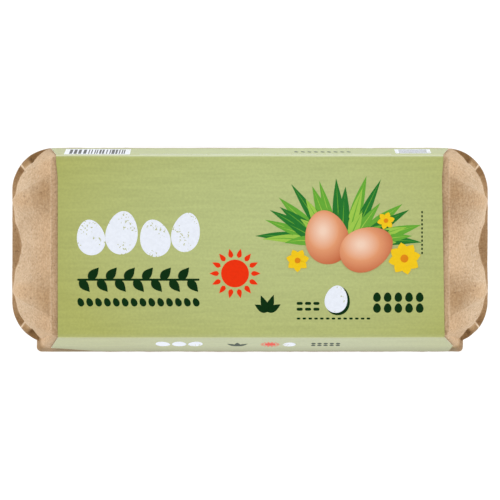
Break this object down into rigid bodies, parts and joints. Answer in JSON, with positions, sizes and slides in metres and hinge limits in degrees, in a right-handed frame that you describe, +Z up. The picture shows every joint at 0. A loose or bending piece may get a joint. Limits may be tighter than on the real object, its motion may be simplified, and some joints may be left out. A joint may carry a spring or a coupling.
{
  "type": "egg carton",
  "caption": "Shut moulded-pulp egg carton: a lid with egg-shaped bulges at its ends over a rounded flange, cups with flat feet below, and a paper label folded over the lid",
  "frame": {"origin": "centre of the carton's floor rectangle, on the plane that its cups' feet stand on", "axes": "+X along the carton to the right as seen from its front, +Y towards the hinge at its back, +Z up"},
  "size_m": [0.25, 0.1072, 0.0682],
  "materials": {
    "moulded_pulp": "rough undyed kraft pulp with fine fibres and specks",
    "label_paper": "satin printed paper in light green"
  },
  "bodies": {
    "root": {"carton": "moulded_pulp", "label": "label_paper"}
  },
  "joints": []
}
